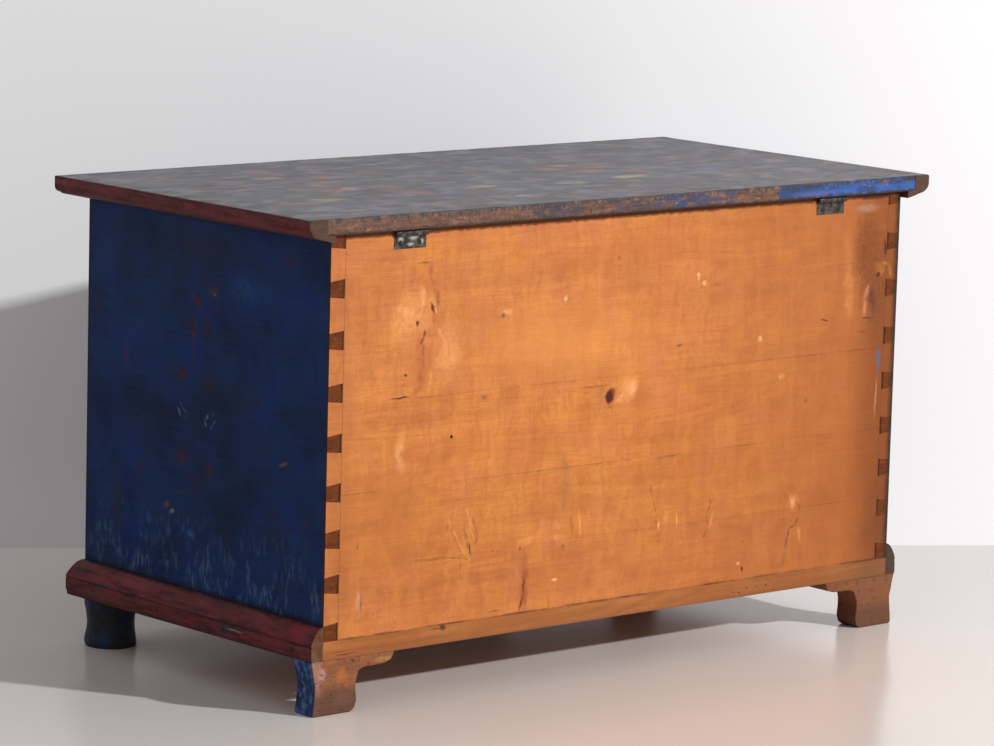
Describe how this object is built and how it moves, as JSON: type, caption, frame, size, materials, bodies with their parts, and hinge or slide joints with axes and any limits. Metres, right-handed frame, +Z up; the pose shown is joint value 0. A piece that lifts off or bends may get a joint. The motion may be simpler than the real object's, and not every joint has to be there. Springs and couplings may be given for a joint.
{
  "type": "blanket chest",
  "caption": "Painted pine blanket chest with dovetailed corners, flat hinged lid with nosing strips, plinth moulding, turned front feet, shaped back feet, inner till and key lock.",
  "frame": {"origin": "middle of the outer box at floor level", "axes": "+X along the length to the right as seen from the front, +Y from the front with the lock towards the plain back, +Z up"},
  "size_m": [1.1404, 0.5958, 0.662],
  "materials": {
    "bare_pine": "old clear varnish over bare pine, satin",
    "raw_pine": "unfinished pine, matt",
    "blue_paint": "worn deep blue oil paint on pine, satin",
    "lid_paint": "worn blue paint with faded flower dabs, satin",
    "red_paint": "worn oxblood red paint on pine, satin",
    "wrought_iron": "dark forged iron with worn bright spots",
    "nail_iron": "dark rusted iron"
  },
  "bodies": {
    "carcass": {"back_plank_1": "bare_pine", "back_plank_2": "bare_pine", "back_plank_3": "bare_pine", "back_plank_4": "bare_pine", "front_plank_1": "blue_paint", "front_plank_2": "blue_paint", "front_plank_3": "blue_paint", "left_end_plank_1": "blue_paint", "left_end_plank_2": "blue_paint", "left_end_plank_3": "blue_paint", "right_end_plank_1": "blue_paint", "right_end_plank_2": "blue_paint", "right_end_plank_3": "blue_paint", "bottom_board_1": "raw_pine", "bottom_board_2": "raw_pine", "bottom_board_3": "raw_pine", "bottom_board_4": "raw_pine", "till_side": "raw_pine", "till_floor": "raw_pine", "plinth_front": "red_paint", "plinth_left": "red_paint", "plinth_right": "red_paint", "front_foot_left": "blue_paint", "front_foot_right": "blue_paint", "back_foot_left": "blue_paint", "back_foot_right": "blue_paint", "hinge_leaf_left": "wrought_iron", "hinge_leaf_right": "wrought_iron", "hinge_pin_left": "wrought_iron", "hinge_pin_right": "wrought_iron", "lock_case": "wrought_iron", "escutcheon": "wrought_iron", "hinge_leaf_nails": "nail_iron", "bottom_nails": "nail_iron", "foot_nails": "nail_iron", "plinth_nails": "nail_iron", "lock_nails": "nail_iron", "escutcheon_nails": "nail_iron"},
    "lid": {"lid_board_1": "lid_paint", "lid_board_2": "lid_paint", "lid_board_3": "lid_paint", "lid_strip_left": "red_paint", "lid_strip_right": "red_paint", "lid_strip_front": "red_paint", "hinge_strap_left": "wrought_iron", "hinge_strap_right": "wrought_iron", "lid_staple": "wrought_iron", "hinge_strap_nails": "nail_iron", "strip_nails": "nail_iron", "staple_nails": "nail_iron"},
    "bolt": {"lock_bolt": "wrought_iron"},
    "key": {"key": "wrought_iron"}
  },
  "joints": [
    {"name": "lid_hinge", "type": "hinge", "parent": "carcass", "child": "lid", "pos_m": [0, 0.2873, 0.6351], "axis": [-1, 0, 0], "range_deg": [0, 115]},
    {"name": "key_turn", "type": "hinge", "parent": "carcass", "child": "key", "pos_m": [0, -0.2551, 0.6061], "axis": [0, 1, 0], "range_deg": [0, 270]},
    {"name": "bolt_slide", "type": "slide", "parent": "carcass", "child": "bolt", "axis": [1, 0, 0], "range_m": [0, 0.013]}
  ],
  "couplings": [
    {"joint": "bolt_slide", "follows": "key_turn", "m_per_rad": 0.0027587}
  ]
}
